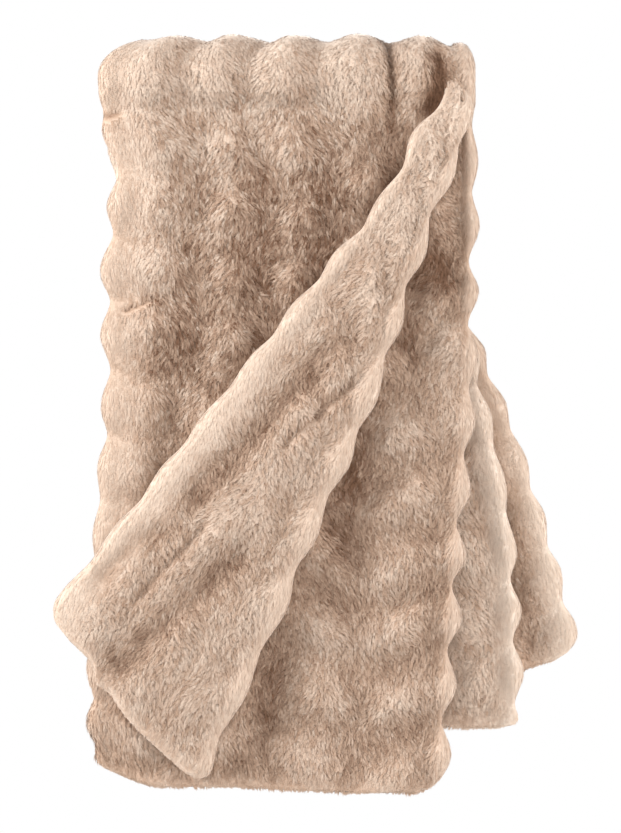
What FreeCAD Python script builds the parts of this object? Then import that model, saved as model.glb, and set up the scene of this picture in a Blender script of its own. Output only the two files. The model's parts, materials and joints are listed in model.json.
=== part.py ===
import FreeCAD, Part
import math
import os

# A faux-fur throw, folded lengthwise to a strip and hung over a round rail.
# The throw is two cloths sewn back to back, a fur face cloth and a plain reverse cloth, with a
# seam all round. Folded, the face cloth is outside and the reverse cloth is doubled inside it,
# so every layer here is a flat sleeve of face cloth round a flat core of reverse cloth.
# Frame: the origin is on the rail's axis, at the middle of the strip. +X runs along the rail,
# +Z is up, and -Y is the front.

# Driving dimensions, in millimetres.
STRIP_WIDTH = 368.0          # the folded strip, along the rail
RAIL_RADIUS = 16.0           # the space that the fold leaves for the rail
FACE = 9.0                   # fur face cloth with its pile, pressed by the fold
REVERSE = 5.0                # reverse cloth with the loft inside the fold
FRONT_DROP = 706.0           # rail axis to the front hem
REAR_DROP = 646.0            # rail axis to the hem of the inner rear layer
BODY_GAP = 0.5               # clear space between layers that move apart
HEM_DEPTH = 8.0              # turned edge where the two cloths are sewn together
HEM_CORNER = 20.0            # radius of a layer's lower corners, seen from the front
EDGE_ROUNDING = 0.4          # radius of a folded edge, as a share of the layer's thickness
CLOSE = 1.0                  # two lengths that differ by less than this are the same

# Worked out from them.
HALF_WIDTH = STRIP_WIDTH / 2
STRIP_THICKNESS = 2 * (FACE + REVERSE)
FOLD_RADIUS = RAIL_RADIUS + STRIP_THICKNESS
LOOSE_THICKNESS = 2 * FACE + REVERSE
OUTER_LAYER_TOP = -8.0       # a loose outer layer starts just below the roll over the rail
INNER_LAYER_TOP = -BODY_GAP

# Care label: a blank woven tab sewn into the hem of the inner rear layer.
LABEL_WIDTH = 32.0
LABEL_LENGTH = 45.0
LABEL_THICKNESS = 0.8
LABEL_X = -20.0

# Topstitch that closes the opening the throw was turned through, along the same hem.
STITCH_LENGTH = 6.0
STITCH_PITCH = 9.0
STITCH_RADIUS = 0.6
STITCH_COUNT = 14
STITCH_START_X = 40.0

# Sides of each layer as (x, z) points from top to bottom. The rear layers lean to the right, and
# the turned flap sweeps from the upper right corner to beyond the lower left edge.
FRONT_LEFT = [(-HALF_WIDTH, INNER_LAYER_TOP), (-186, -300), (-196, -480), (-192, -FRONT_DROP)]
FRONT_RIGHT = [(HALF_WIDTH, INNER_LAYER_TOP), (186, -250), (173, -500), (157, -FRONT_DROP)]
FLAP_LEFT = [(147, OUTER_LAYER_TOP), (118, -80), (0, -228), (-135, -388), (-240, -525)]
FLAP_RIGHT = [(HALF_WIDTH, OUTER_LAYER_TOP), (150, -125), (85, -310), (0, -507), (-68, -698)]
REAR_LEFT = [(-HALF_WIDTH, INNER_LAYER_TOP), (-158, -250), (-95, -REAR_DROP)]
REAR_RIGHT = [(HALF_WIDTH, INNER_LAYER_TOP), (190, -262), (222, -480), (231, -REAR_DROP)]
FAN_LEFT = [(-150, OUTER_LAYER_TOP), (-70, -250), (60, -652)]
FAN_RIGHT = [(120, OUTER_LAYER_TOP), (184, -262), (246, -440), (292, -564)]


def point(x, y, z):
    return FreeCAD.Vector(x, y, z)


def side_curve(side, depth):
    """One smooth curve down a side, in the plane y = depth."""
    curve = Part.BSplineCurve()
    curve.interpolate([point(x, depth, z) for x, z in side])
    return curve.toShape()


def cross_line(start, end, depth):
    """One straight line between two (x, z) points, in the plane y = depth."""
    return Part.makeLine(point(start[0], depth, start[1]), point(end[0], depth, end[1]))


def slab(left, right, front, thickness):
    """A flat slab between two sides."""
    edges = [
        side_curve(left, front),
        cross_line(left[-1], right[-1], front),
        side_curve(right[::-1], front),
        cross_line(right[0], left[0], front),
    ]
    return Part.Face(Part.Wire(edges)).extrude(point(0, thickness, 0))


def moved_across(side, distance):
    return [(x + distance, z) for x, z in side]


def hem_corners(solid, left, right):
    """The two short edges through a slab at its lower corners."""
    corners = [left[-1], right[-1]]
    found = []
    for edge in solid.Edges:
        middle = edge.CenterOfMass
        if any(math.hypot(middle.x - x, middle.z - z) < CLOSE for x, z in corners):
            found.append(edge)
    return found


def rim_edges(solid, top):
    """Every edge round a slab's two broad faces, apart from the cut across its top."""
    found = []
    for edge in solid.Edges:
        across = edge.BoundBox.YLength > CLOSE
        at_top = edge.BoundBox.ZMin > top - CLOSE
        if not across and not at_top:
            found.append(edge)
    return found


def hem_zone(left, right, front, thickness):
    """The space that the sewn hem takes up, parallel to the line of the hem."""
    reach = 3 * HEM_CORNER
    slope = (right[-1][1] - left[-1][1]) / (right[-1][0] - left[-1][0])
    west = (left[-1][0] - reach, left[-1][1] - slope * reach + HEM_DEPTH)
    east = (right[-1][0] + reach, right[-1][1] + slope * reach + HEM_DEPTH)
    low_west = (west[0], west[1] - reach)
    low_east = (east[0], east[1] - reach)
    outline = [west, east, low_east, low_west, west]
    wire = Part.makePolygon([point(x, front, z) for x, z in outline])
    return Part.Face(wire).extrude(point(0, thickness, 0))


def hanging_layer(left, right, front, thickness):
    """The face sleeve, reverse core and hem of one hanging layer."""
    whole = slab(left, right, front, thickness)
    whole = whole.makeFillet(HEM_CORNER, hem_corners(whole, left, right))
    whole = whole.makeFillet(thickness * EDGE_ROUNDING, rim_edges(whole, left[0][1]))
    core_front = front + FACE
    core_thickness = thickness - 2 * FACE
    inside = slab(moved_across(left, FACE), moved_across(right, -FACE), core_front, core_thickness)
    inside = inside.common(whole)
    zone = hem_zone(left, right, core_front, core_thickness)
    return whole.cut(inside), inside.cut(zone), inside.common(zone)


def half_ring(inner_radius, outer_radius, half_length):
    """Half a tube over the rail."""
    low = [point(-half_length, y, 0) for y in (-outer_radius, -inner_radius)]
    high = [point(-half_length, y, 0) for y in (inner_radius, outer_radius)]
    outer = Part.Arc(low[0], point(-half_length, 0, outer_radius), high[1]).toShape()
    inner = Part.Arc(high[0], point(-half_length, 0, inner_radius), low[1]).toShape()
    wire = Part.Wire([outer, Part.makeLine(high[1], high[0]), inner, Part.makeLine(low[1], low[0])])
    return Part.Face(wire).extrude(point(2 * half_length, 0, 0))


def rail_fold():
    """The face sleeve and reverse core of the roll that lies over the rail."""
    whole = half_ring(RAIL_RADIUS, FOLD_RADIUS, HALF_WIDTH)
    boxes = [(edge, edge.BoundBox) for edge in whole.Edges]
    end_curves = [edge for edge, box in boxes if box.XLength < CLOSE and box.ZLength > CLOSE]
    whole = whole.makeFillet(STRIP_THICKNESS * EDGE_ROUNDING, end_curves)
    core = half_ring(RAIL_RADIUS + FACE, FOLD_RADIUS - FACE, HALF_WIDTH - FACE)
    return whole.cut(core), core


def closing_stitches():
    """A row of short stitches under the hem of the inner rear layer."""
    depth = RAIL_RADIUS + LOOSE_THICKNESS / 2
    height = -REAR_DROP - STITCH_RADIUS
    stitches = []
    for index in range(STITCH_COUNT):
        start = point(STITCH_START_X + index * STITCH_PITCH, depth, height)
        stitches.append(Part.makeCylinder(STITCH_RADIUS, STITCH_LENGTH, start, point(1, 0, 0)))
    return Part.makeCompound(stitches)


def care_label():
    """A blank tab that hangs from the hem of the inner rear layer."""
    depth = RAIL_RADIUS + (LOOSE_THICKNESS - LABEL_THICKNESS) / 2
    corner = point(LABEL_X, depth, -REAR_DROP - LABEL_LENGTH)
    return Part.makeBox(LABEL_WIDTH, LABEL_THICKNESS, LABEL_LENGTH, corner)


def write(name, shape):
    solids = shape.Solids
    piece = solids[0] if len(solids) == 1 else Part.makeCompound(solids)
    piece.exportStep("parts/" + name + ".step")
    print(name, len(solids), round(shape.Volume / 1000), "cm3", shape.isValid())


def main():
    os.makedirs("parts", exist_ok=True)

    fold_face, fold_reverse = rail_fold()
    write("rail_fold_face_cloth", fold_face)
    write("rail_fold_reverse_cloth", fold_reverse)

    layers = {
        "front_drape": (FRONT_LEFT, FRONT_RIGHT, -FOLD_RADIUS, STRIP_THICKNESS),
        "turned_flap": (FLAP_LEFT, FLAP_RIGHT, -FOLD_RADIUS - BODY_GAP - LOOSE_THICKNESS, LOOSE_THICKNESS),
        "rear_drape": (REAR_LEFT, REAR_RIGHT, RAIL_RADIUS, LOOSE_THICKNESS),
        "rear_fan": (FAN_LEFT, FAN_RIGHT, RAIL_RADIUS + LOOSE_THICKNESS + BODY_GAP, LOOSE_THICKNESS),
    }
    for name, shape in layers.items():
        face, reverse, hem = hanging_layer(*shape)
        write(name + "_face_cloth", face)
        write(name + "_reverse_cloth", reverse)
        write(name + "_hem_seam", hem)

    write("closing_stitches", closing_stitches())
    write("care_label", care_label())


main()
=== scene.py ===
import json
import math

import bpy
import numpy as np
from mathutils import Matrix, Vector


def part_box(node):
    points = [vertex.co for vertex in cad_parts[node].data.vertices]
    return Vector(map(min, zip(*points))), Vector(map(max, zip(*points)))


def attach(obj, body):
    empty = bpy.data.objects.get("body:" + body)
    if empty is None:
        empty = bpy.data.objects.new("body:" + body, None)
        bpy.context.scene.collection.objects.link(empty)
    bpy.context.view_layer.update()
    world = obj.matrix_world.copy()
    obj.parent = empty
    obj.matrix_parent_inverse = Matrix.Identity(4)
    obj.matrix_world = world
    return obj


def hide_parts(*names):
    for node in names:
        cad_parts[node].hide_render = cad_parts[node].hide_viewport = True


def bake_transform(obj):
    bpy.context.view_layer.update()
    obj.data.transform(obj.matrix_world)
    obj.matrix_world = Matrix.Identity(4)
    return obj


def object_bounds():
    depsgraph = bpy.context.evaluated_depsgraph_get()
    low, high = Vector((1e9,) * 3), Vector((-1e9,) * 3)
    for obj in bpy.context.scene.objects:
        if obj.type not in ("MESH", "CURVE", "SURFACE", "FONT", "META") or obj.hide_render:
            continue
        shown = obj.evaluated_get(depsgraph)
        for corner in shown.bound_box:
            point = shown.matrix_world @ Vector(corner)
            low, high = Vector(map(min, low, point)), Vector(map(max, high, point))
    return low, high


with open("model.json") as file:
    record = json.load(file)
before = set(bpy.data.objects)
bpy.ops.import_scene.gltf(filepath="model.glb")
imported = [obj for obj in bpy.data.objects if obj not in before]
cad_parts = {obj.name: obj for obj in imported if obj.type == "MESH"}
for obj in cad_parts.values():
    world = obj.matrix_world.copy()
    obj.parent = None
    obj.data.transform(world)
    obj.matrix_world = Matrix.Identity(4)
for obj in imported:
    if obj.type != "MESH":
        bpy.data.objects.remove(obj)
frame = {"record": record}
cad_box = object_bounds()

# Everything is in metres. A layer of the throw is a flat sleeve: its surface is a grid of points with
# rows down the cloth and columns round the sleeve. Tufts of pile are scattered over the outer sleeve.

FUR_INSET = 0.0030           # the fur's backing lies this far inside the outer shape, under its pile
FUR_PLY = 0.0090             # the fur cloth's inner face
REVERSE_INSET = 0.0096       # outer face of the reverse cloth inside it
REVERSE_PLY = 0.0020         # thickness of the reverse cloth
DEEPEST = -0.0040            # no valley goes deeper than this into the fur
CELL = 0.0034                # size of one face of the cloth
HINGE_RUN = 0.060            # the pile is parted into pieces this far below a layer's hinge

BUBBLE_HEIGHT = 0.0110
LUMP_HEIGHT = 0.0013         # uneven swells on top of the bubbles
FLOOR_SOFTNESS = 0.0012      # how gently a valley flattens out at its deepest
EDGE_ROUNDING = 0.045        # a layer thins over this distance towards its side folds
EDGE_DROP = 0.40             # by this share of its thickness
EDGE_SWELL = 0.0015          # and its folded edges puff out this far beyond the pressed strip
CALM_START = 0.12            # the pile lies flat and smooth up to this share of a layer's calm width
CALM_LIMIT = 0.22            # and a calm width is at most this share of the whole width

TUFT_LENGTH = 0.0110
TUFT_WIDTH = 0.0018
TUFT_BEND = 0.50
TUFT_DENSITY = 250000        # tufts on a square metre
HIDDEN_SHARE = 0.30          # and the share of them on a side that lies against another layer
HEM_PILE = 0.022             # tufts shorten over this distance from a layer's ends
TUFT_TONES = 64              # columns of the pile's colour atlas, dark to light
PIECE_TUFTS = 28000          # tufts in one piece of pile at most
UV_NAME = "OFBake"

# The points of a tuft are two at its root, four across its middle and three tips. Its faces are one
# six-sided face up to the middle and a triangle for each tip.
TUFT_POINTS = 9
TUFT_CORNERS = np.array([0, 2, 3, 4, 5, 1, 3, 2, 6, 4, 3, 7, 5, 4, 8])
TUFT_FACE_STARTS = np.array([0, 6, 9, 12])
TUFT_ACROSS = np.array([0.20, 0.80, 0.10, 0.37, 0.63, 0.90, 0.23, 0.50, 0.77])
TUFT_ALONG = np.array([0.02, 0.02, 0.50, 0.50, 0.50, 0.50, 0.98, 0.98, 0.98])

HEM_LIFT = 0.0035            # the sewn edge is this far above the end of the cloth
HEM_RADIUS = 0.0014
HEM_STITCHES = 96
STITCH_COUNT = 14
STITCH_LENGTH = 0.006
THREAD_SIDES = 8

# The pile's tone runs over these colours; its dark end also carries painted shade and its pale end painted
# highlight.
DARK_FUR = (0.255, 0.140, 0.085)
MIDDLE_FUR = (0.615, 0.440, 0.325)
PALE_FUR = (0.870, 0.725, 0.600)
FUR_TONES = [(0.0, DARK_FUR), (0.5, MIDDLE_FUR), (1.0, PALE_FUR)]
REVERSE_TONES = [(0.3, (0.46, 0.34, 0.26)), (0.7, (0.60, 0.46, 0.36))]
HEM_TONES = [(0.3, (0.40, 0.29, 0.22)), (0.7, (0.54, 0.41, 0.32))]
THROUGH_SHARE = 0.2          # the share of light that the pile passes through

# Lamps: name, place, size and power.
LAMPS = [
    ("key", (-2.2, -0.95, 0.60), 0.9, 84),
    ("right_fill", (2.0, -0.8, 0.1), 1.4, 42),
    ("front_fill", (0.3, -2.9, 0.5), 1.6, 28),
]
WORLD_ON_CLOTH = 0.45        # strength of the white surroundings on the cloth
WORLD_TO_CAMERA = 1.0        # and as the camera sees them
FLOOR_HALF = 1.2
FLOOR_BELOW = 0.42           # the floor is this far below the hems
CAMERA_DISTANCE = 3.2        # from the throw's front face
FRONT_FACE = 0.05
CAMERA_X = 0.0205
CAMERA_Z = -0.3335
VIEW_HEIGHT = 0.833          # height of the view at the throw


# --- Noise and small maths -------------------------------------------------------------------

def noise(seed, across, down):
    """Smooth repeatable noise from -1 to 1 at points given in lattice units."""
    size = 64
    lattice = np.random.default_rng(seed).uniform(-1, 1, (size, size))
    column = np.floor(across).astype(int)
    row = np.floor(down).astype(int)
    right = across - column
    below = down - row
    right = right * right * (3 - 2 * right)
    below = below * below * (3 - 2 * below)
    west = column % size
    east = (column + 1) % size
    north = row % size
    south = (row + 1) % size
    upper = lattice[north, west] * (1 - right) + lattice[north, east] * right
    lower = lattice[south, west] * (1 - right) + lattice[south, east] * right
    return upper * (1 - below) + lower * below


def smooth_step(low, high, value):
    share = np.clip((value - low) / (high - low), 0, 1)
    return share * share * (3 - 2 * share)


def bell(centre, width, value):
    return np.exp(-(((value - centre) / width) ** 2))


def unit(vectors):
    length = np.linalg.norm(vectors, axis=-1, keepdims=True)
    return vectors / np.maximum(length, 1e-9)


def side_curve(points, share):
    """A smooth curve through (x, z) points, read at shares of its length from 0 to 1."""
    knots = np.array(points, float)
    steps = np.linalg.norm(np.diff(knots, axis=0), axis=1)
    at = np.concatenate([[0], np.cumsum(steps)])
    at = at / at[-1]
    slopes = np.gradient(knots, at, axis=0)
    index = np.clip(np.searchsorted(at, share, side="right") - 1, 0, len(at) - 2)
    span = at[index + 1] - at[index]
    t = ((share - at[index]) / span)[..., None]
    span = span[..., None]
    start = knots[index] * (1 + 2 * t) * (1 - t) ** 2 + slopes[index] * span * t * (1 - t) ** 2
    end = knots[index + 1] * t * t * (3 - 2 * t) + slopes[index + 1] * span * t * t * (t - 1)
    return start + end


def groove(place, path, width):
    """1 on a path of (x, z) points and 0 away from it, at places in the same plane."""
    best = np.full(place.shape[:-1], np.inf)
    for start, end in zip(path[:-1], path[1:]):
        start = np.array(start)
        run = np.array(end) - start
        share = np.clip(((place - start) @ run) / (run @ run), 0, 1)
        gap = np.linalg.norm(place - start - share[..., None] * run, axis=-1)
        best = np.minimum(best, gap)
    return np.exp(-((best / width) ** 2))


def in_box(low, high, shares):
    """Points given as shares of a CAD box's width, from its left, and height, from its top."""
    return [(low.x + (high.x - low.x) * x, high.z + (low.z - high.z) * z) for x, z in shares]


# --- The frame's sizes -----------------------------------------------------------------------

RAIL_RADIUS = frame["record"]["mounts"][0]["dims"]["r_mm"] / 1000
fold_low, fold_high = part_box("rail_fold_face_cloth")
front_low, front_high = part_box("front_drape_face_cloth")
flap_low, flap_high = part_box("turned_flap_face_cloth")
rear_low, rear_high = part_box("rear_drape_face_cloth")
fan_low, fan_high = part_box("rear_fan_face_cloth")

FOLD_MIDDLE = (RAIL_RADIUS + fold_high.z) / 2
FOLD_RUN = math.pi * FOLD_MIDDLE

OVER_TOP = -0.045            # the flap and the rear drape start this share of their height above their box
FAN_TOP = -0.015             # and the fan starts this share above its own
SINKS = 0.024                # the tops of the flap and the fan sink this far into the roll
TAIL_THINS = 0.008           # the roll thins by this much where it ends, under the rear drape

# Sides of each layer, from top to bottom, as shares of its CAD box.
FRONT_LEFT = in_box(front_low, front_high, [
    (0.016, 0), (0.006, 0.032), (0.040, 0.085), (0.026, 0.25),
    (0.024, 0.45), (-0.004, 0.70), (-0.012, 0.93), (-0.006, 1.009),
])
FRONT_RIGHT = in_box(front_low, front_high, [
    (0.996, 0), (1.001, 0.15), (1.001, 0.34), (0.962, 0.70), (0.918, 1.009),
])
FLAP_LEFT = in_box(flap_low, flap_high, [
    (0.945, OVER_TOP), (0.936, 0.005), (0.872, 0.05), (0.826, 0.107),
    (0.562, 0.325), (0.253, 0.565), (0.003, 0.763),
])
FLAP_RIGHT = in_box(flap_low, flap_high, [
    (0.965, OVER_TOP), (0.985, 0.0), (0.983, 0.04), (0.915, 0.17),
    (0.762, 0.45), (0.562, 0.74), (0.41, 1.0),
])
REAR_LEFT = in_box(rear_low, rear_high, [(0.012, OVER_TOP), (0.0, 0.08), (0.063, 0.387), (0.215, 1.006)])
REAR_RIGHT = in_box(rear_low, rear_high, [
    (0.860, OVER_TOP), (0.862, 0.08), (0.868, 0.26), (0.900, 0.405), (0.996, 0.745), (1.014, 1.009),
])
FAN_LEFT = in_box(fan_low, fan_high, [(0.0, FAN_TOP), (0.183, 0.38), (0.48, 1.006)])
FAN_RIGHT = in_box(fan_low, fan_high, [
    (0.62, FAN_TOP), (0.785, 0.385), (0.866, 0.52), (0.940, 0.67), (1.030, 0.891),
])


# --- Layers ----------------------------------------------------------------------------------

class Layer:
    """One folded layer: where its middle runs, how thick it is, and what its surface does.

    columns is the number of bubbles round the sleeve, or 0 where their pitch settles it. calm is how
    far from its left and right edges the pile lies flat. The layer that is over the rail starts
    behind the rail and runs over it.
    """

    def __init__(self, name, bodies, middle, thickness, length, columns, pitch, corner, calm, relief,
                 over_rail=False):
        self.name = name
        self.bodies = bodies
        self.middle = middle
        self.thickness = thickness
        self.length = length
        self.columns = columns
        self.pitch = pitch
        self.corner = corner
        self.calm = calm
        self.relief = relief
        self.over_rail = over_rail

    def width(self, s):
        ends = self.middle(np.ones_like(s), s) - self.middle(np.zeros_like(s), s)
        return np.linalg.norm(ends, axis=-1)

    def flat(self, inset):
        """The widest loop round the sleeve by its length, and its area."""
        shares = np.linspace(0, 1, 21)
        loops = 2 * self.width(shares) + (math.pi - 2) * self.thickness(shares) - 2 * math.pi * inset
        return (float(loops.max()), self.length), float(loops.mean()) * self.length


def stadium(turn, width, half):
    """Where a flat oval loop passes, and which way it faces. turn is 0 at the middle of the front."""
    flat = np.maximum(width / 2 - half, 0)
    bend = np.pi * half
    around = 4 * flat + 2 * bend
    run = turn * around
    right = run - flat
    back = right - bend
    left = back - 2 * flat
    angle = np.clip(right / half, 0, np.pi) + np.clip(left / half, 0, np.pi)
    out_across = np.sin(angle)
    out_front = np.cos(angle)
    across = np.clip(run, 0, flat) - np.clip(back, 0, 2 * flat) + np.clip(left - bend, 0, flat)
    edge = flat - np.abs(across)
    half = half * (1 - EDGE_DROP * smooth_step(-EDGE_ROUNDING, 0, -edge))
    return across + half * out_across, half * out_front, out_across, out_front, around, edge


def corner_draw(layer, s):
    """How far each side draws in near the hem, to round the lower corners."""
    up = np.clip(layer.corner - (1 - s) * layer.length, 0, layer.corner)
    return layer.corner - np.sqrt(np.maximum(layer.corner ** 2 - up ** 2, 0))


def sleeve_grid(layer, columns, shares, inset):
    """Points of the sleeve, inset from its outer shape, their outward directions and what is read there."""
    s = np.repeat(shares[:, None], columns, axis=1)
    turn = np.repeat((np.arange(columns) / columns)[None, :], len(shares), axis=0)
    width = layer.width(s)
    half = np.maximum(layer.thickness(s) / 2 - inset, 0.0004)
    loop = width + 2 * EDGE_SWELL - 2 * inset - 2 * corner_draw(layer, s)
    across, front, out_across, out_front, around, edge = stadium(turn, loop, half)
    u = 0.5 + across / width
    step = 0.002
    along = unit(layer.middle(u + step, s) - layer.middle(u - step, s))
    down = unit(layer.middle(u, s + step) - layer.middle(u, s - step))
    facing = unit(np.cross(down, along))
    middle = layer.middle(u, s)
    outward = along * out_across[..., None] + facing * out_front[..., None]
    points = middle + facing * front[..., None]
    drop = s * layer.length
    if layer.over_rail:
        place = np.stack([middle[..., 0], FOLD_RUN - drop], axis=-1)
    else:
        place = middle[..., [0, 2]]
    at = dict(body=layer.name, u=u, s=s, drop=drop, place=place, around=around, facing=out_front)
    at["turn"] = np.where(turn > 0.5, turn - 1, turn)
    calm_width = np.where(u < 0.5, layer.calm[0], layer.calm[1])
    calm_width = np.minimum(calm_width, CALM_LIMIT * width)
    inward = edge + half * (1 - np.abs(out_across))
    at["calm"] = 1 - smooth_step(CALM_START * calm_width, calm_width, inward)
    at["hem"] = 1 - smooth_step(0, HEM_PILE, np.minimum(drop, layer.length - drop))
    return points, outward, at


def bubbles(layer, at):
    """Soft raised bubbles from 0 in the valleys to 1 on top, on a grid that wobbles."""
    if layer.columns:
        across = at["turn"] * layer.columns + 0.07 - 0.60 * at["s"]
        across = across - 0.45 * smooth_step(0.35, 0.6, at["s"]) * np.sin(2 * np.pi * at["turn"])
    else:
        across = at["turn"] * at["around"] / layer.pitch
    down = at["drop"] / layer.pitch - 0.26 - 0.30 * at["u"] - 0.35 * bell(0.75, 0.13, at["u"])
    shift_across = 0.12 * noise(11, across * 0.8, down * 0.8) + 0.09 * noise(13, across * 2, down * 2)
    shift_down = 0.16 * noise(12, across * 0.8 + 7, down * 0.8) + 0.10 * noise(14, across * 2, down * 2)
    across = across + shift_across
    down = down + shift_down * (1 - 0.7 * at["calm"])
    cell_across = 0.5 + 0.5 * np.cos(2 * np.pi * (across - np.round(across)))
    cell_down = 0.5 + 0.5 * np.cos(2 * np.pi * (down - np.round(down)))
    # Which flank of a bubble column a point is on, for painted shade on one flank and painted light on the
    # other.
    at["lean"] = np.sin(2 * np.pi * across)
    deep_across = 0.70 + 0.45 * noise(15, across * 0.5, down * 0.9)
    deep_down = 0.62 + 0.50 * noise(16, across * 0.9, down * 0.5)
    if layer.over_rail:
        upper = 1 - smooth_step(0.16, 0.34, -at["place"][..., 1])
        lower_right = smooth_step(0.45, 0.60, at["u"]) * (1 - upper)
        past_roll = smooth_step(0.75 * FOLD_RUN, 1.25 * FOLD_RUN, at["drop"])
        deep_across = deep_across + 0.45 * upper
        deep_down = (deep_down + 0.12 * upper + 0.25 * lower_right + 0.1 * at["calm"]) * past_roll
    deep_across = np.clip(deep_across, 0.2, 1) * (1 - 0.8 * at["calm"])
    columns_of = 1 - deep_across * (1 - cell_across ** 0.8)
    rows_of = 1 - np.clip(deep_down, 0, 1) * (1 - cell_down ** (0.95 - 0.15 * at["calm"]))
    return columns_of * rows_of


def lumps(at):
    """Low uneven swells between and across the bubbles, from -1 to 1."""
    across = at["turn"] * at["around"]
    coarse = noise(41, across / 0.045, at["drop"] / 0.050)
    fine = noise(42, across / 0.014, at["drop"] / 0.016)
    return 0.65 * coarse + 0.35 * fine


def hem_closing(layer, s):
    """How far the ply's two faces draw together at the hem, from 0 to 1."""
    distance = np.clip((1 - s) * layer.length / (FUR_PLY * 0.6), 0, 1)
    return 1 - np.sqrt(np.clip(1 - (1 - distance) ** 2, 0, 1))


def fur_grid(layer):
    """The outer and inner faces of a layer's fur cloth, and what its pile reads."""
    rows = int(layer.length / CELL)
    shares = np.linspace(0, 1, rows)
    columns = int((2 * float(layer.width(np.array(0.5))) + 0.05) / CELL)
    points, outward, at = sleeve_grid(layer, columns, shares, FUR_INSET)
    at["puff"] = bubbles(layer, at)
    lift, tone, at["fleck"] = layer.relief(at)
    lift = lift + LUMP_HEIGHT * lumps(at) * (1 - 0.6 * at["calm"])
    lift = DEEPEST + np.logaddexp(0, (lift - DEEPEST) / FLOOR_SOFTNESS) * FLOOR_SOFTNESS
    at["tone"] = tone
    closing = hem_closing(layer, at["s"])
    raised = lift * (1 - closing) - closing * (FUR_PLY - FUR_INSET) * 0.5
    points = points + outward * raised[..., None]
    inner, inner_out, inner_at = sleeve_grid(layer, columns, shares[::-4], FUR_PLY)
    inner_closing = hem_closing(layer, inner_at["s"])
    inner = inner + inner_out * (inner_closing * (FUR_PLY - FUR_INSET) * 0.5)[..., None]
    return points, at, inner


def torus_faces(rows, columns):
    row = np.arange(rows)[:, None]
    column = np.arange(columns)[None, :]
    next_row = (row + 1) % rows
    next_column = (column + 1) % columns
    corners = [
        row * columns + column,
        next_row * columns + column,
        next_row * columns + next_column,
        row * columns + next_column,
    ]
    return np.stack(corners, axis=-1).reshape(-1, 4)


def mesh_from(name, points, faces):
    """A smooth mesh object from an array of points and an array of same-sized faces."""
    mesh = bpy.data.meshes.new(name)
    mesh.vertices.add(len(points))
    mesh.vertices.foreach_set("co", points.astype(np.float32).ravel())
    mesh.loops.add(faces.size)
    mesh.loops.foreach_set("vertex_index", faces.astype(np.int32).ravel())
    mesh.polygons.add(len(faces))
    mesh.polygons.foreach_set("loop_start", np.arange(0, faces.size, faces.shape[1], dtype=np.int32))
    mesh.polygons.foreach_set("use_smooth", np.ones(len(faces), bool))
    mesh.update()
    thing = bpy.data.objects.new(name, mesh)
    bpy.context.scene.collection.objects.link(thing)
    return thing


def set_tone(piece, tone):
    """Store the pile's tone, painted shade and highlight included, from 0 dark to 1 light, on a piece's
    points.
    """
    shade = piece.data.attributes.new("tone", "FLOAT", "POINT")
    shade.data.foreach_set("value", tone.astype(np.float32).ravel())


def fur_piece(layer, grid, material):
    points, at, inner = grid
    everything = np.concatenate([points, inner], axis=0)
    faces = torus_faces(*everything.shape[:2])
    piece = mesh_from(layer.name + "_fur", everything.reshape(-1, 3), faces)
    set_tone(piece, np.concatenate([at["tone"], np.full(inner.shape[:2], 0.5)], axis=0))
    piece.data.materials.append(material)
    return piece


def reverse_piece(layer, material):
    """The reverse cloth, a plain sleeve inside the fur."""
    cell = 3 * CELL
    rows = int(layer.length / cell)
    shares = np.linspace(0, 1 - 0.004 / layer.length, rows)
    columns = int((2 * float(layer.width(np.array(0.5)))) / cell)
    outer, outward, at = sleeve_grid(layer, columns, shares, REVERSE_INSET)
    ripple = 0.0003 * noise(51, at["turn"] * at["around"] / 0.03, at["drop"] / 0.06)
    outer = outer + outward * ripple[..., None]
    inner, inward, _ = sleeve_grid(layer, columns, shares[::-1], REVERSE_INSET + REVERSE_PLY)
    everything = np.concatenate([outer, inner], axis=0)
    faces = torus_faces(*everything.shape[:2])
    piece = mesh_from(layer.name + "_reverse", everything.reshape(-1, 3), faces)
    piece.data.materials.append(material)
    return piece


# --- Pile ------------------------------------------------------------------------------------

def scatter(layer, grid, seed):
    """What each tuft reads at a random place on the outside of a layer."""
    points, at, _ = grid
    down = np.gradient(points, axis=0)
    across = (np.roll(points, -1, axis=1) - np.roll(points, 1, axis=1)) / 2
    normals = unit(np.cross(down, across))
    area = np.linalg.norm(down, axis=-1) * np.linalg.norm(across, axis=-1)
    weight = (area * TUFT_DENSITY * pile_share(layer, at))[:-1]
    rows, columns = weight.shape
    count = int(weight.sum())
    rng = np.random.default_rng(seed)
    chosen = rng.choice(rows * columns, size=count, p=(weight / weight.sum()).ravel())
    row, column = np.divmod(chosen, columns)
    fall = rng.random(count)[:, None]
    slide = rng.random(count)[:, None]
    east = (column + 1) % columns

    def read(field):
        field = field if field.ndim == 3 else field[..., None]
        upper = field[row, column] * (1 - slide) + field[row, east] * slide
        lower = field[row + 1, column] * (1 - slide) + field[row + 1, east] * slide
        return upper * (1 - fall) + lower * fall

    sideways = unit(across)
    downwards = unit(down)
    puff = at["puff"]
    slope_down = np.gradient(puff, axis=0) / np.maximum(np.linalg.norm(down, axis=-1), 1e-6)
    slope_across = (np.roll(puff, -1, axis=1) - np.roll(puff, 1, axis=1)) / 2
    slope_across = slope_across / np.maximum(np.linalg.norm(across, axis=-1), 1e-6)
    spread = -(sideways * slope_across[..., None] + downwards * slope_down[..., None]) * 0.02
    return dict(
        rng=rng,
        root=read(points),
        out=unit(read(normals)),
        down=unit(read(downwards)),
        spread=read(spread),
        tone=read(at["tone"])[:, 0],
        fleck=read(at["fleck"])[:, 0],
        calm=read(np.maximum(at["calm"], 0.7 * at["hem"]))[:, 0],
        hem=read(at["hem"])[:, 0],
        drop=read(at["drop"])[:, 0],
        across=read(at["turn"] * at["around"])[:, 0],
    )


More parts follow.
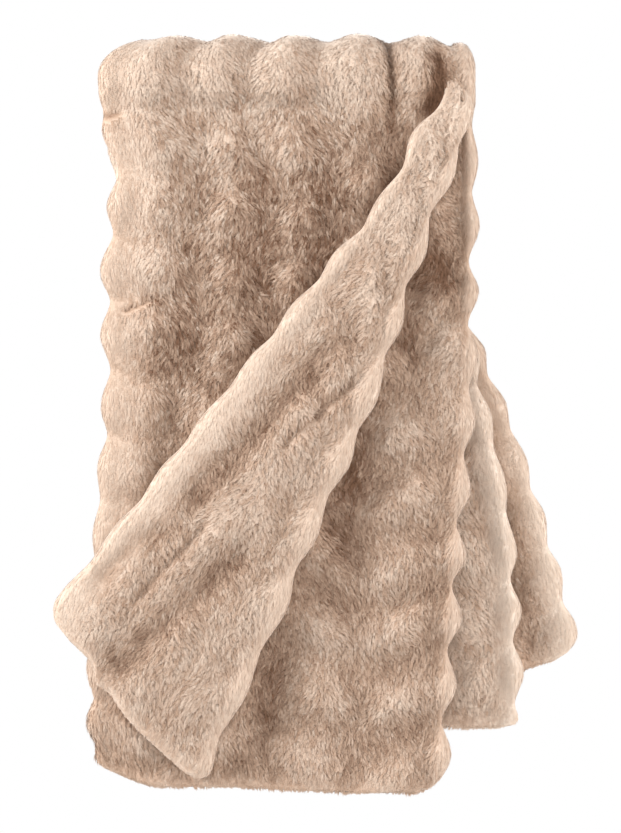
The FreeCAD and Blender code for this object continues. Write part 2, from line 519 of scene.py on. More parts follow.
def pile_share(layer, at):
    """Full pile where a layer shows, and less on the side that lies against another layer."""
    if layer.bodies[1] in ("front_drape", "turned_flap"):
        hidden = smooth_step(0.2, 0.6, -at["facing"]) * smooth_step(0.0, 0.03, at["s"])
    else:
        hidden = smooth_step(0.2, 0.6, at["facing"]) * (1 - smooth_step(0.70, 0.85, at["u"]))
    return 1 - (1 - HIDDEN_SHARE) * hidden


def tuft_shapes(places):
    """Nine points for each tuft: a root, a broader middle and three tips that bend over."""
    rng = places["rng"]
    count = len(places["root"])
    out = places["out"]
    calm = places["calm"]
    rough = 1 - 0.85 * calm
    swirl = 0.55 * noise(21, places["across"] / 0.034, places["drop"] / 0.034)
    swirl = swirl + 0.32 * noise(22, places["across"] / 0.007, places["drop"] / 0.010)
    swirl = (swirl + rng.normal(0, 0.20, count)) * rough
    heading = places["down"] * 0.6 + places["spread"] * rough[:, None]
    gravity = np.array([0, 0, -0.8])
    heading = heading + gravity
    heading = unit(heading - out * np.sum(heading * out, axis=1, keepdims=True))
    beside = np.cross(out, heading)
    heading = heading * np.cos(swirl)[:, None] + beside * np.sin(swirl)[:, None]
    beside = np.cross(out, heading)
    short = (1 - 0.25 * calm) * (1 - 0.5 * places["hem"])
    length = (TUFT_LENGTH * short * rng.uniform(0.7, 1.2, count))[:, None]
    width = (TUFT_WIDTH * rng.uniform(0.7, 1.25, count))[:, None]
    upward = np.clip(out[:, 2], 0, 1)
    root_lift = (0.55 - 0.41 * calm + rng.normal(0, 0.12, count) * rough) * (1 - 0.65 * upward)
    root_lift = root_lift[:, None]
    tip_lift = root_lift - TUFT_BEND * rough[:, None] - 0.05
    first = unit(heading * np.cos(root_lift) + out * np.sin(root_lift))
    second = unit(heading * np.cos(tip_lift) + out * np.sin(tip_lift))
    roll = (rng.normal(0, 0.24, count) * rough)[:, None]
    flat = beside * np.cos(roll) + np.cross(first, beside) * np.sin(roll)
    root = places["root"] - out * (0.0010 - 0.0008 * calm[:, None])
    middle = root + first * length * 0.45
    shape = [root - flat * width * 0.35, root + flat * width * 0.35]
    shape += [middle + flat * width * (step / 3 - 0.5) for step in range(4)]
    for step in range(3):
        reach = length * 0.55 * rng.uniform(0.7, 1.25, (count, 1))
        aside = (step - 1) / 3 * 1.3 + rng.normal(0, 0.16, (count, 1))
        lift = rng.normal(0, 0.10, (count, 1)) * rough[:, None]
        shape.append(middle + (second + out * lift) * reach + flat * width * aside)
    return np.stack(shape, axis=1)


def tuft_tones(places):
    """Which column of the colour atlas each tuft reads, from 0 dark to 1 light."""
    rng = places["rng"]
    rough = (1 - 0.80 * places["calm"]) * places["fleck"]
    uneven = 0.06 * noise(31, places["across"] / 0.05, places["drop"] / 0.05)
    uneven = uneven + 0.05 * noise(33, places["across"] / 0.016, places["drop"] / 0.021)
    uneven = uneven + 0.23 * noise(32, places["across"] / 0.0029, places["drop"] / 0.0056)
    uneven = uneven + rng.normal(0, 0.09, len(uneven))
    return np.clip(places["tone"] + uneven * rough, 0, 0.999)


def pile_piece(name, shapes, normals, tones, calm, material):
    """One mesh of tufts. Its normals are the cloth's own, so that the pile shades as one soft surface."""
    count = len(shapes)
    mesh = bpy.data.meshes.new(name)
    mesh.vertices.add(count * TUFT_POINTS)
    mesh.vertices.foreach_set("co", shapes.astype(np.float32).ravel())
    corners = np.arange(count)[:, None] * TUFT_POINTS + TUFT_CORNERS
    mesh.loops.add(corners.size)
    mesh.loops.foreach_set("vertex_index", corners.astype(np.int32).ravel())
    starts = np.arange(count)[:, None] * len(TUFT_CORNERS) + TUFT_FACE_STARTS
    mesh.polygons.add(starts.size)
    mesh.polygons.foreach_set("loop_start", starts.astype(np.int32).ravel())
    mesh.polygons.foreach_set("use_smooth", np.ones(starts.size, bool))
    column = np.floor(tones * TUFT_TONES)[:, None]
    u = (column + TUFT_ACROSS[TUFT_CORNERS]) / TUFT_TONES
    v = 1 - (1 - TUFT_ALONG[TUFT_CORNERS]) * (1 - 0.8 * calm[:, None])
    layer = mesh.uv_layers.new(name=UV_NAME)
    layer.data.foreach_set("uv", np.stack([u, v], axis=-1).astype(np.float32).ravel())
    mesh.update()
    shading = mesh.attributes.new("custom_normal", "FLOAT_VECTOR", "POINT")
    shading.data.foreach_set("vector", np.repeat(normals, TUFT_POINTS, axis=0).astype(np.float32).ravel())
    mesh.update()
    thing = bpy.data.objects.new(name, mesh)
    bpy.context.scene.collection.objects.link(thing)
    mesh.materials.append(material)
    return thing


def grow_pile(layer, grid, seed, bend_ends, material):
    """Pieces of pile over one layer: those down to just below the hinge and those below them."""
    places = scatter(layer, grid, seed)
    shapes = tuft_shapes(places)
    tones = tuft_tones(places)
    order = np.argsort(places["drop"])
    above = int(np.searchsorted(places["drop"][order], bend_ends))
    pieces = []
    for zone, members in (("bend", order[:above]), ("hang", order[above:])):
        made = []
        parts = math.ceil(len(members) / PIECE_TUFTS)
        for index, part in enumerate(np.array_split(members, parts)):
            name = f"{layer.name}_pile_{zone}_{index + 1}"
            calm = places["calm"][part]
            made.append(pile_piece(name, shapes[part], places["out"][part], tones[part], calm, material))
        pieces.append(made)
    return pieces


# --- The four layers -------------------------------------------------------------------------

def into_roll(depth, height, sinks):
    """How far from the rail's plane a layer's middle is, as its top curves over into the roll."""
    radius = depth - sinks * smooth_step(-0.085, 0.040, height)
    return np.sqrt(radius ** 2 - np.clip(height, 0, 0.95 * radius) ** 2)


def between(left, right, u, share):
    """The (x, z) point at u across between two sides, at a share of their lengths."""
    west = side_curve(left, share)
    east = side_curve(right, share)
    return west * (1 - u[..., None]) + east * u[..., None]


def side_x(side, heights):
    """Where a side is, along x, at some heights."""
    line = side_curve(side, np.linspace(0, 1, 100))
    return np.interp(heights, line[::-1, 1], line[::-1, 0])


FRONT_LENGTH = FOLD_RUN + front_high.z - front_low.z
FOLD_SHARE = FOLD_RUN / FRONT_LENGTH


def roll_tail(s):
    """1 where the roll ends, behind the rail, and 0 from its top on."""
    return 1 - smooth_step(0, 0.4 * FOLD_SHARE, s)


def front_middle(u, s):
    """Up from behind the rail, over it and down the front."""
    turn = np.clip(s / FOLD_SHARE, 0, 1) * math.pi
    down = np.clip((s - FOLD_SHARE) / (1 - FOLD_SHARE), 0, 1.02)
    x = between(FRONT_LEFT, FRONT_RIGHT, u, down)[..., 0]
    x = x + (0.029 * (1 - u) - 0.006 * u) * np.sin(turn) ** 4
    y = (FOLD_MIDDLE - TAIL_THINS / 2 * roll_tail(s)) * np.cos(turn)
    below = np.maximum(s - FOLD_SHARE, 0) - np.minimum(s, 0)
    z = FOLD_MIDDLE * np.sin(turn) - below * FRONT_LENGTH
    hem = 0.018 * (1 - smooth_step(0, 0.20, u)) - 0.006 * smooth_step(0.3, 0.8, u)
    z = z + hem * smooth_step(0.85, 1, s)
    return np.stack([x, y, z], axis=-1)


def front_thickness(s):
    return front_high.y - front_low.y - TAIL_THINS * roll_tail(s)


ROLL_CREASE = in_box(front_low, front_high, [(0.765, -0.06), (0.775, -0.02), (0.782, 0.055)])
ROLL_POCKET = in_box(front_low, front_high, [(0.893, -0.025), (0.897, 0.0), (0.887, 0.028)])
LEFT_NOTCH = in_box(front_low, front_high, [(0.035, 0.045), (0.062, 0.040)])
LEFT_FOLD = in_box(front_low, front_high, [(0.086, 0.321), (0.125, 0.312), (0.165, 0.300)])

# Hollows beside the flap's right edge, where the drape's bubbles dip under it and are painted dark as
# painted shade: place, width and depth.
FRONT_HOLLOWS_AND_SHADE = [
    (in_box(front_low, front_high, [(0.865, 0.235), (0.895, 0.275)]), 0.024, 1.5),
    (in_box(front_low, front_high, [(0.825, 0.350), (0.845, 0.385)]), 0.017, 0.7),
    (in_box(front_low, front_high, [(0.690, 0.500), (0.675, 0.570)]), 0.017, 0.8),
    (in_box(front_low, front_high, [(0.640, 0.640), (0.650, 0.660)]), 0.022, 0.7),
    (in_box(front_low, front_high, [(0.620, 0.735), (0.640, 0.740)]), 0.022, 0.5),
    (in_box(front_low, front_high, [(0.480, 0.835), (0.455, 0.905)]), 0.013, 0.5),
    (in_box(front_low, front_high, [(0.345, 0.960), (0.375, 0.955)]), 0.012, 0.6),
]


def pressed_and_shaded_by_flap(at, upper, outside):
    """Where the pile lies pressed beside the flap, from 0 to 1.5. The pile is painted darker there too, as
    painted shade beside the flap and in the hollows to its right.
    """
    place = at["place"]
    left_gap = side_x(FLAP_LEFT, place[..., 1]) - place[..., 0]
    right_gap = place[..., 0] - side_x(FLAP_RIGHT, place[..., 1])
    hanging = smooth_step(-0.02, 0.10, -place[..., 1])
    shade_left = (0.50 * bell(0.0, 0.030, left_gap) + 0.86 * bell(0.075, 0.085, left_gap)) * upper
    shade_right = 0.30 * bell(0.006, 0.020, right_gap) * (right_gap > -0.02)
    for path, width, depth in FRONT_HOLLOWS_AND_SHADE:
        shade_right = shade_right + depth * groove(place, path, width)
    return np.clip(shade_left + shade_right, 0, 1.5) * hanging * outside * (1 - 0.9 * at["calm"])


def front_relief(at):
    """Bubbles, the roll's crease and pocket, and pile pressed beside the flap: its lift, its tone with
    painted shade and painted highlight, and its fleck.
    """
    place = at["place"]
    puff = at["puff"]
    crease = groove(place, ROLL_CREASE, 0.0055)
    pocket = groove(place, ROLL_POCKET, 0.011)
    notches = groove(place, LEFT_NOTCH, 0.004) + groove(place, LEFT_FOLD, 0.003)
    outside = smooth_step(-0.2, 0.2, at["facing"])
    upper = 1 - smooth_step(0.22, 0.46, -place[..., 1])
    pressed_and_shaded = pressed_and_shaded_by_flap(at, upper, outside)
    roll = 1 - smooth_step(0.9 * FOLD_RUN, 1.3 * FOLD_RUN, at["drop"])
    lift = BUBBLE_HEIGHT * (1.1 - 0.4 * roll) * (puff - 0.45) - 0.003 * pressed_and_shaded + 0.002 * at["calm"]
    lift = lift + (0.009 - 0.002 * at["calm"]) * roll * np.clip(at["facing"], 0, 1)
    lift = lift - 0.016 * (1 - smooth_step(0.1 * FOLD_RUN, 0.5 * FOLD_RUN, at["drop"]))
    lift = lift - 0.007 * crease * outside - 0.009 * pocket * outside - 0.0025 * notches * outside
    lower_left = smooth_step(0.56, 0.64, -place[..., 1]) * (1 - smooth_step(0.1, 0.25, at["u"]))
    at["calm"] = at["calm"] * (1 - 0.6 * lower_left)
    # Towards the right the lightening below fades, as painted shade right of the flap, and the fleck
    # lessens.
    middle = 1 - 0.5 * smooth_step(0.6, 0.8, at["u"])
    upper_rough = upper * (1 - at["calm"]) * outside * middle
    # Lighter over the rough upper drape. Valleys darker than bubble tops: partly the fur's deeper undercoat
    # and partly painted shade.
    tone = 0.61 + 0.16 * upper_rough + (0.30 - 0.16 * upper_rough) * (puff - 0.6)
    # Painted shade beside the flap, and painted shade on one flank of each bubble with painted light on the
    # other.
    tone = tone - 0.42 * pressed_and_shaded - 0.11 * upper_rough * at["lean"]
    # Painted highlight on the folded edges, a little stronger on the left.
    edge_highlight = 0.11 - 0.02 * smooth_step(0.4, 0.6, at["u"])
    tone = tone + edge_highlight * at["calm"] * (1 - 0.6 * roll) - 0.08 * lower_left
    # Painted shade in the roll's crease, its pocket and the notches.
    tone = tone - (0.45 * crease + 1.0 * pocket + 0.6 * notches) * outside
    # Painted highlight along the top of the roll.
    tone = tone + 0.08 * bell(0, 0.05, place[..., 1] - 0.02)
    return lift, tone, 1 + 0.6 * upper * (1 - roll) * (2 * middle - 1)


front_layer = Layer(
    "front_drape", ("rail_fold", "front_drape"), front_middle, front_thickness, FRONT_LENGTH,
    columns=11, pitch=0.066, corner=0.020, calm=(0.060, 0.018), relief=front_relief, over_rail=True,
)

FLAP_DEPTH = (flap_low.y + flap_high.y) / 2
FLAP_LENGTH = 0.74


def flap_middle(u, s):
    share = np.clip(s, -0.02, 1.02)
    flat = between(FLAP_LEFT, FLAP_RIGHT, u, share)
    hem = 0.018 + 0.018 * smooth_step(0.25, 0.6, u) + 0.008 * bell(0.36, 0.05, u)
    hem = hem * smooth_step(0.75, 1, s)
    depth = -into_roll(-FLAP_DEPTH, flat[..., 1], SINKS)
    return np.stack([flat[..., 0] - 0.7 * hem, depth, flat[..., 1] - 0.7 * hem], axis=-1)


def flap_thickness(s):
    return (flap_high.y - flap_low.y) * (0.50 + 0.50 * smooth_step(0, 0.20, s))


def flap_path(*shares):
    return in_box(flap_low, flap_high, shares)


# Creases down the flap: path, width and depth. Each crease is also painted darker by its depth, as painted
# shade.
FLAP_CREASES = [
    (flap_path((0.68, 0.37), (0.464, 0.52), (0.33, 0.60)), 0.014, 0.0080),
    (flap_path((0.705, 0.435), (0.63, 0.475), (0.545, 0.525)), 0.006, 0.006),
    (flap_path((0.37, 0.64), (0.27, 0.70), (0.19, 0.755)), 0.0045, 0.004),
    (flap_path((0.25, 0.655), (0.19, 0.67), (0.117, 0.725)), 0.012, 0.005),
    (flap_path((0.43, 0.69), (0.345, 0.738), (0.225, 0.815), (0.17, 0.855)), 0.014, 0.0075),
    (flap_path((0.36, 0.885), (0.40, 0.86)), 0.014, 0.003),
    (flap_path((0.135, 0.825), (0.14, 0.85)), 0.010, 0.004),
]


def flap_relief(at):
    """Flatter bubbles with creases between them, with painted shade in the creases and valleys and a
    painted highlight on the left fold.
    """
    place = at["place"]
    puff = at["puff"]
    outside = smooth_step(-0.2, 0.2, at["facing"])
    right_edge = at["calm"] * smooth_step(0.4, 0.6, at["u"])
    lift = 0.0040 + BUBBLE_HEIGHT * (0.50 + 0.15 * at["calm"] + 0.35 * right_edge) * (puff - 0.5)
    # Valleys darker than bubble tops, partly undercoat and partly painted shade, and a painted highlight on
    # the calm left edge.
    tone = 0.74 + 0.18 * (puff - 0.6) + 0.04 * at["calm"] * (1 - at["u"])
    # Painted shade where the flap rises into the roll.
    tone = tone - 0.22 * smooth_step(-0.02, 0.02, place[..., 1])
    for path, width, depth in FLAP_CREASES:
        dip = groove(place, path, width) * outside
        lift = lift - 1.15 * depth * dip
        # Painted shade in the crease.
        tone = tone - 50 * depth * dip
    # Painted highlight along the flap's upper-left fold.
    left_fold_highlight = bell(0, 0.05, place[..., 0] - side_x(FLAP_LEFT, place[..., 1]))
    return lift, tone + 0.10 * left_fold_highlight * outside, np.ones_like(tone)


flap_layer = Layer(
    "turned_flap", ("front_drape", "turned_flap"), flap_middle, flap_thickness, FLAP_LENGTH,
    columns=0, pitch=0.076, corner=0.026, calm=(0.064, 0.022), relief=flap_relief,
)

REAR_DEPTH = (rear_low.y + rear_high.y) / 2
REAR_LENGTH = rear_high.z - rear_low.z


def rear_middle(u, s):
    flat = between(REAR_LEFT, REAR_RIGHT, u, np.clip(s, -0.02, 1.02))
    return np.stack([flat[..., 0], into_roll(REAR_DEPTH, flat[..., 1], 0), flat[..., 1]], axis=-1)


def rear_thickness(s):
    return np.full_like(s, rear_high.y - rear_low.y)


def behind_relief(at):
    """Bubbles of a rear layer, with painted shade where the layer in front of it ends."""
    lift = (BUBBLE_HEIGHT * (at["puff"] - 0.45) + 0.002 * at["calm"]) * smooth_step(0, 0.1, at["s"])
    ahead, depth = (FRONT_RIGHT, 0.14) if at["body"] == "rear_drape" else (REAR_RIGHT, 0.38)
    gap = at["place"][..., 0] - side_x(ahead, at["place"][..., 1])
    shade = bell(0.006, 0.022, gap) * smooth_step(-0.2, 0.2, at["facing"])
    # Valleys darker, partly undercoat and partly painted shade; a painted highlight on the calm edges.
    tone = 0.86 + 0.25 * (at["puff"] - 0.6) + 0.18 * at["calm"] - depth * shade
    return lift, tone, np.ones_like(tone)


rear_layer = Layer(
    "rear_drape", ("rail_fold", "rear_drape"), rear_middle, rear_thickness, REAR_LENGTH,
    columns=11, pitch=0.062, corner=0.016, calm=(0.030, 0.034), relief=behind_relief,
)

FAN_DEPTH = (fan_low.y + fan_high.y) / 2
FAN_LENGTH = 0.64


def fan_middle(u, s):
    flat = between(FAN_LEFT, FAN_RIGHT, u, np.clip(s, -0.02, 1.02))
    return np.stack([flat[..., 0], into_roll(FAN_DEPTH, flat[..., 1], SINKS), flat[..., 1]], axis=-1)


def fan_thickness(s):
    return (fan_high.y - fan_low.y) * (0.4 + 0.6 * smooth_step(0, 0.15, s))


fan_layer = Layer(
    "rear_fan", ("rear_drape", "rear_fan"), fan_middle, fan_thickness, FAN_LENGTH,
    columns=9, pitch=0.064, corner=0.022, calm=(0.034, 0.036), relief=behind_relief,
)


# --- Hem, stitches and label -----------------------------------------------------------------

def tube_faces(rings, sides, closed):
    ring = np.arange(rings if closed else rings - 1)[:, None]
    side = np.arange(sides)[None, :]
    next_ring = (ring + 1) % rings
    next_side = (side + 1) % sides
    corners = [
        ring * sides + side,
        next_ring * sides + side,
        next_ring * sides + next_side,
        ring * sides + next_side,
    ]
    return np.stack(corners, axis=-1).reshape(-1, 4)


def tube_points(path, radii, sides, up):
    """Rings of points round a path."""
    along = unit(np.gradient(path, axis=0))
    beside = unit(np.cross(along, up))
    above = np.cross(beside, along)
    angle = np.arange(sides) / sides * 2 * np.pi
    ring = beside[:, None, :] * np.cos(angle)[None, :, None]
    ring = ring + above[:, None, :] * np.sin(angle)[None, :, None]
    return path[:, None, :] + ring * radii[:, None, None]


def hem_piece(layer, material):
    """The sewn edge round a layer's mouth, pinched a little at each stitch."""
    count = 480
    shares = np.array([1 - HEM_LIFT / layer.length])
    loop, outward, _ = sleeve_grid(layer, count, shares, REVERSE_INSET - 0.0012)
    pinch = 1 - 0.18 * (0.5 + 0.5 * np.cos(np.arange(count) / count * 2 * np.pi * HEM_STITCHES))
    points = tube_points(loop[0], HEM_RADIUS * pinch, THREAD_SIDES, np.array([0, 0, 1.0]))
    piece = mesh_from(layer.name + "_hem", points.reshape(-1, 3), tube_faces(count, THREAD_SIDES, True))
    piece.data.materials.append(material)
    return piece


def stitches_piece(material):
    """The row of short stitches, each a thread that dives into the cloth at its ends."""
    low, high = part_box("closing_stitches")
    radius = (high.z - low.z) / 2
    pitch = (high.x - low.x - STITCH_LENGTH) / (STITCH_COUNT - 1)
    share = np.linspace(0, 1, 9)
    rise = np.minimum(np.minimum(share, 1 - share) * 4, 1)
    height = low.z + radius * 0.4 + radius * 1.2 * np.sqrt(1 - (1 - rise) ** 2)
    thread = radius * np.interp(share, [0, 0.15, 0.85, 1], [0.3, 0.9, 0.9, 0.3])
    points = []
    faces = []
    for index in range(STITCH_COUNT):
        x = low.x + index * pitch + share * STITCH_LENGTH
        path = np.stack([x, np.full_like(x, (low.y + high.y) / 2), height], axis=-1)
        rings = tube_points(path, thread, THREAD_SIDES, np.array([0, 0, 1.0])).reshape(-1, 3)
        faces.append(tube_faces(len(share), THREAD_SIDES, False) + index * len(rings))
        points.append(rings)
    piece = mesh_from("closing_stitch_thread", np.concatenate(points), np.concatenate(faces))
    piece.data.materials.append(material)
    return piece


def label_piece(material):
    """A blank woven tab, folded double, that curls a little."""
    low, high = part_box("care_label")
    thickness = (high.y - low.y) / 2
    columns, rows = 12, 20
    x, z = np.meshgrid(np.linspace(low.x, high.x, columns), np.linspace(high.z, low.z, rows))
    down = (high.z - z) / (high.z - low.z)
    across = (x - low.x) / (high.x - low.x)
    y = (low.y + high.y) / 2 + 0.0016 * down ** 2 * np.sin(across * 2.4 + 0.4)
    front_face = np.stack([x, y - thickness * 0.5, z], axis=-1)
    back_face = np.stack([x, y + thickness * 0.5, z], axis=-1)[:, ::-1]
    loop = np.concatenate([front_face, back_face], axis=1)
    wall = tube_faces(rows, 2 * columns, False)[:, ::-1]
    caps = []
    for row in (0, rows - 1):
        start = row * 2 * columns
        for column in range(columns - 1):
            far = 2 * columns - 1 - column
            cap = [start + column, start + column + 1, start + far - 1, start + far]
            caps.append(cap if row else cap[::-1])
    piece = mesh_from("care_label_tab", loop.reshape(-1, 3), np.concatenate([wall, np.array(caps)]))
    piece.data.materials.append(material)
    return piece


# --- Materials -------------------------------------------------------------------------------

def new_material(name):
    material = bpy.data.materials.new(name)
    material.use_nodes = True
    nodes = material.node_tree.nodes
    nodes.clear()
    output = nodes.new("ShaderNodeOutputMaterial")
    shader = nodes.new("ShaderNodeBsdfPrincipled")
    material.node_tree.links.new(shader.outputs[0], output.inputs[0])
    return material, nodes, material.node_tree.links, shader


def ramp(nodes, stops):
    """A colour ramp from (position, colour) pairs."""
    node = nodes.new("ShaderNodeValToRGB")
    elements = node.color_ramp.elements
    while len(elements) < len(stops):
        elements.new(0.5)
    for element, (position, colour) in zip(elements, stops):
        element.position = position
        element.color = (*colour, 1)
    return node


def multiply(nodes, links, first, second):
    """A colour socket that is the product of two."""
    node = nodes.new("ShaderNodeMix")
    node.data_type = "RGBA"
    node.blend_type = "MULTIPLY"
    node.inputs[0].default_value = 1
    links.new(first, node.inputs[6])
    links.new(second, node.inputs[7])
    return node.outputs[2]


def textile(shader, sheen):
    shader.inputs["Roughness"].default_value = 0.85
    shader.inputs["Specular IOR Level"].default_value = 0.15
    shader.inputs["Sheen Weight"].default_value = sheen
    shader.inputs["Sheen Roughness"].default_value = 0.35
    shader.inputs["Sheen Tint"].default_value = (1.0, 0.90, 0.82, 1)


def pile_material():
    """Pile: darker at the root and pale at the tip, in tones from the valleys to the bubble tops, painted
    shade and highlight included.
    """
    material, nodes, links, shader = new_material("fur_pile")
    place = nodes.new("ShaderNodeUVMap")
    place.uv_map = UV_NAME
    parts = nodes.new("ShaderNodeSeparateXYZ")
    links.new(place.outputs[0], parts.inputs[0])
    tones = ramp(nodes, FUR_TONES)
    links.new(parts.outputs[0], tones.inputs[0])
    root_to_tip = [(0.0, (0.40, 0.34, 0.30)), (0.55, (0.90, 0.88, 0.87)), (1.0, (1.0, 1.0, 1.0))]
    along = ramp(nodes, root_to_tip)
    links.new(parts.outputs[1], along.inputs[0])
    stretch = nodes.new("ShaderNodeMapping")
    stretch.inputs["Scale"].default_value = (TUFT_TONES * 7, 1.6, 1)
    links.new(place.outputs[0], stretch.inputs[0])
    streaks = nodes.new("ShaderNodeTexNoise")
    streaks.inputs["Scale"].default_value = 1.0
    streaks.inputs["Detail"].default_value = 1.0
    links.new(stretch.outputs[0], streaks.inputs[0])
    streak_colour = ramp(nodes, [(0.35, (0.88, 0.87, 0.86)), (0.65, (1.0, 1.0, 1.0))])
    links.new(streaks.outputs[0], streak_colour.inputs[0])
    shaded = multiply(nodes, links, tones.outputs[0], along.outputs[0])
    colour = multiply(nodes, links, shaded, streak_colour.outputs[0])
    links.new(colour, shader.inputs["Base Color"])
    textile(shader, 0.9)
    through = nodes.new("ShaderNodeBsdfTranslucent")
    links.new(colour, through.inputs["Color"])
    mix = nodes.new("ShaderNodeMixShader")
    mix.inputs[0].default_value = THROUGH_SHARE
    links.new(shader.outputs[0], mix.inputs[1])
    links.new(through.outputs[0], mix.inputs[2])
    links.new(mix.outputs[0], nodes["Material Output"].inputs[0])
    return material


def mottled_cloth(name, stops, scale, distance, sheen, by_tone):
    """A textile of two or three colours, mottled or toned, with a fine bump."""
    material, nodes, links, shader = new_material(name)
    place = nodes.new("ShaderNodeTexCoord")
    mottle = nodes.new("ShaderNodeTexNoise")
    mottle.inputs["Scale"].default_value = scale
    mottle.inputs["Detail"].default_value = 4
    links.new(place.outputs["Object"], mottle.inputs["Vector"])
    colour = ramp(nodes, stops)
    if by_tone:
        # The underfur takes the pile's tone, painted shade and highlight included.
        tone = nodes.new("ShaderNodeAttribute")
        tone.attribute_name = "tone"
        links.new(tone.outputs["Fac"], colour.inputs[0])
        grain = ramp(nodes, [(0.35, (0.80, 0.78, 0.77)), (0.65, (0.88, 0.87, 0.87))])
        links.new(mottle.outputs[0], grain.inputs[0])
        links.new(multiply(nodes, links, colour.outputs[0], grain.outputs[0]), shader.inputs["Base Color"])
    else:
        links.new(mottle.outputs[0], colour.inputs[0])
        links.new(colour.outputs[0], shader.inputs["Base Color"])
    bump = nodes.new("ShaderNodeBump")
    bump.inputs["Distance"].default_value = distance
    links.new(mottle.outputs[0], bump.inputs["Height"])
    links.new(bump.outputs[0], shader.inputs["Normal"])
    textile(shader, sheen)
    return material


def woven(name, light, dark, pitch, sheen):
    """A plain weave: crossed threads in two close colours."""
    material, nodes, links, shader = new_material(name)
    place = nodes.new("ShaderNodeTexCoord")
    threads = []
    for direction in ("X", "Z"):
        wave = nodes.new("ShaderNodeTexWave")
        wave.bands_direction = direction
        wave.inputs["Scale"].default_value = math.pi / (10 * pitch)
        wave.inputs["Distortion"].default_value = 0.4
        links.new(place.outputs["Object"], wave.inputs["Vector"])
        threads.append(wave.outputs["Fac"])
    weave = nodes.new("ShaderNodeMath")
    weave.operation = "MULTIPLY"
    links.new(threads[0], weave.inputs[0])
    links.new(threads[1], weave.inputs[1])
    colour = ramp(nodes, [(0.1, dark), (0.7, light)])
    links.new(weave.outputs[0], colour.inputs[0])
    links.new(colour.outputs[0], shader.inputs["Base Color"])
    bump = nodes.new("ShaderNodeBump")
    bump.inputs["Distance"].default_value = 0.0003
    links.new(weave.outputs[0], bump.inputs["Height"])
    links.new(bump.outputs[0], shader.inputs["Normal"])
    textile(shader, sheen)
    return material


# --- Stage -----------------------------------------------------------------------------------

def area_light(name, place, target, size, power):
    data = bpy.data.lights.new(name, "AREA")
    data.shape = "DISK"
    data.size = size
    data.energy = power
    lamp = bpy.data.objects.new(name, data)
    bpy.context.scene.collection.objects.link(lamp)
    lamp.location = place
    lamp.rotation_euler = (Vector(target) - Vector(place)).to_track_quat("-Z", "Y").to_euler()


def set_world():
    """Even white surroundings, brighter to the camera than to the cloth."""
    world = bpy.data.worlds.new("studio")
    bpy.context.scene.world = world
    world.use_nodes = True
    nodes = world.node_tree.nodes
    links = world.node_tree.links
    nodes.clear()
    output = nodes.new("ShaderNodeOutputWorld")
    path = nodes.new("ShaderNodeLightPath")
    mix = nodes.new("ShaderNodeMixShader")
    links.new(path.outputs["Is Camera Ray"], mix.inputs[0])
    for socket, strength in ((1, WORLD_ON_CLOTH), (2, WORLD_TO_CAMERA)):
        background = nodes.new("ShaderNodeBackground")
        background.inputs["Color"].default_value = (1, 1, 1, 1)
        background.inputs["Strength"].default_value = strength
        links.new(background.outputs[0], mix.inputs[socket])
    links.new(mix.outputs[0], output.inputs[0])


def set_stage():
    bpy.context.scene.view_settings.view_transform = "Standard"
    set_world()
    middle = (cad_box[0] + cad_box[1]) / 2
    for name, place, size, power in LAMPS:
        area_light(name, place, (0, 0, middle.z), size, power)
    height = cad_box[0].z - FLOOR_BELOW
    square = [(-1, -1), (1, -1), (1, 1), (-1, 1)]
    corners = np.array([(x * FLOOR_HALF, y * FLOOR_HALF, height) for x, y in square])
    floor = mesh_from("floor", corners, np.array([[0, 1, 2, 3]]))
    material, _, _, shader = new_material("pale_floor")
    shader.inputs["Base Color"].default_value = (0.86, 0.86, 0.86, 1)
    shader.inputs["Roughness"].default_value = 0.8
    floor.data.materials.append(material)


def set_camera():
    """A long lens straight in front, framed a little right of the middle."""
    data = bpy.data.cameras.new("camera")
    camera = bpy.data.objects.new("camera", data)
    bpy.context.scene.collection.objects.link(camera)
    bpy.context.scene.camera = camera
    data.sensor_width = 36
    data.lens = data.sensor_width * CAMERA_DISTANCE / VIEW_HEIGHT
    camera.location = (CAMERA_X, -CAMERA_DISTANCE - FRONT_FACE, CAMERA_Z)
    camera.rotation_euler = (math.pi / 2, 0, 0)


# --- Put together ----------------------------------------------------------------------------

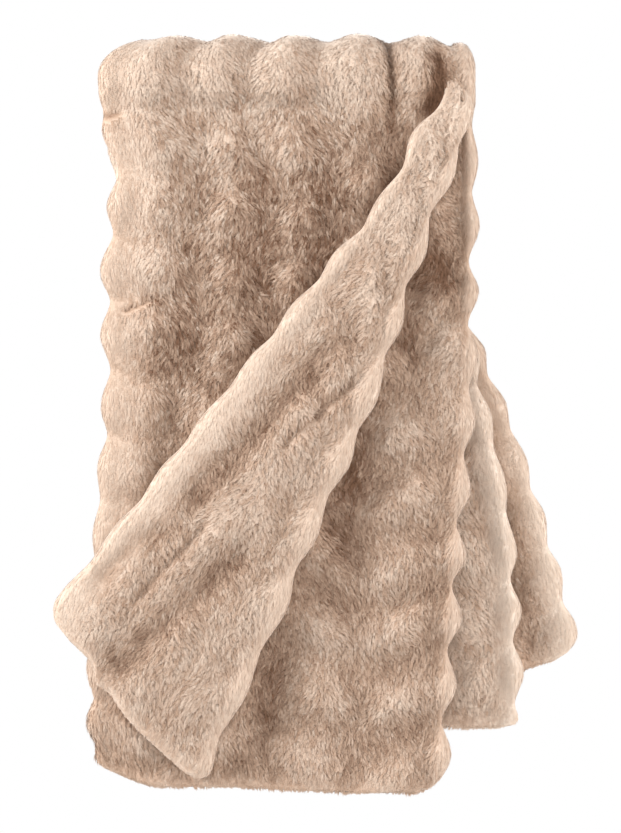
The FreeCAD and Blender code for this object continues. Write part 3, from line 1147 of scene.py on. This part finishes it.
def hinge(layer, piece):
    """Bake a piece's place into its points."""
    depth = float(layer.middle(np.array(0.5), np.array(0.5))[1])
    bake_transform(piece)


def hinge_drop(layer):
    """How far down the cloth from its top the hinge is, which is level with the rail."""
    shares = np.linspace(0, 1, 1000)
    heights = layer.middle(np.full_like(shares, 0.5), shares)[:, 2]
    return float(shares[heights >= 0].max()) * layer.length


def build_layer(layer, seed, materials):
    """The fur, its pile, the reverse cloth and the hem of one layer, on its bodies."""
    grid = fur_grid(layer)
    fur = fur_piece(layer, grid, materials["underfur"])
    bend_ends = hinge_drop(layer) + HINGE_RUN + 0.01
    bend, hang = grow_pile(layer, grid, seed, bend_ends, materials["pile"])
    reverse = reverse_piece(layer, materials["reverse_cloth"])
    hem = hem_piece(layer, materials["hem_seam"])
    for piece in (fur, reverse, *bend):
        hinge(layer, piece)
    for piece in (hem, *hang):
        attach(piece, layer.bodies[1])
    body = layer.bodies[1]
    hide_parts(body + "_face_cloth")
    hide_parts(body + "_reverse_cloth")
    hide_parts(body + "_hem_seam")
    if layer.over_rail:
        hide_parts("rail_fold_face_cloth")
        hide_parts("rail_fold_reverse_cloth")
    flat, area = layer.flat(FUR_INSET)
    flat, area = layer.flat(REVERSE_INSET)


def main():
    materials = dict(
        pile=pile_material(),
        underfur=mottled_cloth("underfur", FUR_TONES, 420, 0.0007, 0.6, True),
        reverse_cloth=mottled_cloth("reverse_velour", REVERSE_TONES, 900, 0.0004, 0.5, False),
        hem_seam=mottled_cloth("hem_binding", HEM_TONES, 1400, 0.0003, 0.3, False),
    )
    for seed, layer in enumerate((front_layer, flap_layer, rear_layer, fan_layer)):
        build_layer(layer, seed + 1, materials)
    thread = woven("stitch_thread", (0.62, 0.47, 0.36), (0.36, 0.25, 0.18), 0.0008, 0.2)
    stitches = stitches_piece(thread)
    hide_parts("closing_stitches")
    label = label_piece(woven("label_weave", (0.82, 0.79, 0.74), (0.60, 0.56, 0.51), 0.0007, 0.2))
    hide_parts("care_label")
    for piece in (stitches, label):
        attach(piece, "rear_drape")
    set_stage()
    set_camera()


main()
